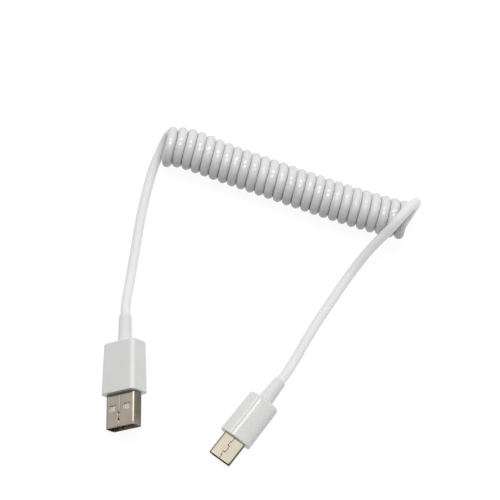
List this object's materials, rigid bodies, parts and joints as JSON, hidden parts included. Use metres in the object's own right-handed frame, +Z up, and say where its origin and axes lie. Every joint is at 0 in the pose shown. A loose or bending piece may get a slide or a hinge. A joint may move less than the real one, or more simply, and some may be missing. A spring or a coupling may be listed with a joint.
{
  "type": "curly charging cable",
  "caption": "White coiled charging cable with a flat rectangular USB-A plug on one end and a small rounded USB-C plug on the other; the coil stretches and springs back.",
  "frame": {"origin": "on the surface that the cable lies on, under the middle of the box that holds the two plugs", "axes": "+Z up from that surface; +X along the coil from its USB-A end to its USB-C end, which is the way it stretches; +Y from the plugs towards the coil"},
  "size_m": [0.0943, 0.1107, 0.0171],
  "materials": {
    "cord_jacket": "glossy white flexible polymer",
    "plug_moulding": "smooth white moulding, semi-gloss",
    "strain_relief": "soft white moulding, slightly warm",
    "nickel_shell": "nickel-plated drawn steel, fine satin",
    "champagne_shell": "pale champagne nickel plating, satin",
    "light_insulator": "pale moulded plastic",
    "black_insulator": "black moulded plastic",
    "gold_contacts": "gold-plated contact strip",
    "spring_steel": "stainless spring strip",
    "tinned_steel": "tinned sheet",
    "solder": "bright solder",
    "inner_mould": "translucent ivory hot melt",
    "circuit_board": "green solder mask",
    "resistor": "black chip resistor",
    "red_insulation": "red wire insulation",
    "white_insulation": "white wire insulation",
    "green_insulation": "green wire insulation",
    "black_insulation": "black wire insulation"
  },
  "bodies": {
    "usb_a_side": {"cord_lead_a": "cord_jacket", "cord_coil": "cord_jacket", "usb_a_body": "plug_moulding", "usb_a_strain_relief": "strain_relief", "usb_a_shell": "nickel_shell", "usb_a_insulator": "light_insulator", "usb_a_power_contacts": "gold_contacts", "usb_a_data_contacts": "gold_contacts", "usb_a_solder_joints": "solder", "usb_a_rear_shield": "tinned_steel", "usb_a_inner_mould": "inner_mould", "usb_a_crimp_ring": "tinned_steel", "usb_a_jacket_end": "cord_jacket", "usb_a_red_wire": "red_insulation", "usb_a_white_wire": "white_insulation", "usb_a_green_wire": "green_insulation", "usb_a_black_wire": "black_insulation"},
    "usb_c_side": {"cord_lead_c": "cord_jacket", "usb_c_body": "plug_moulding", "usb_c_strain_relief": "strain_relief", "usb_c_shell": "champagne_shell", "usb_c_insulator": "black_insulator", "usb_c_upper_contacts": "gold_contacts", "usb_c_lower_contacts": "gold_contacts", "usb_c_latch_plate": "spring_steel", "usb_c_ground_springs": "spring_steel", "usb_c_circuit_board": "circuit_board", "usb_c_resistor": "resistor", "usb_c_solder_joints": "solder", "usb_c_shield_top": "tinned_steel", "usb_c_shield_bottom": "tinned_steel", "usb_c_inner_mould": "inner_mould", "usb_c_crimp_ring": "tinned_steel", "usb_c_jacket_end": "cord_jacket", "usb_c_red_wire": "red_insulation", "usb_c_white_wire": "white_insulation", "usb_c_green_wire": "green_insulation", "usb_c_black_wire": "black_insulation"}
  },
  "joints": [
    {"name": "coil_stretch", "type": "slide", "parent": "usb_a_side", "child": "usb_c_side", "axis": [1, 0, 0], "range_m": [0, 0.2], "stiffness_N_per_m": 5, "deforming": ["cord_coil"]}
  ]
}
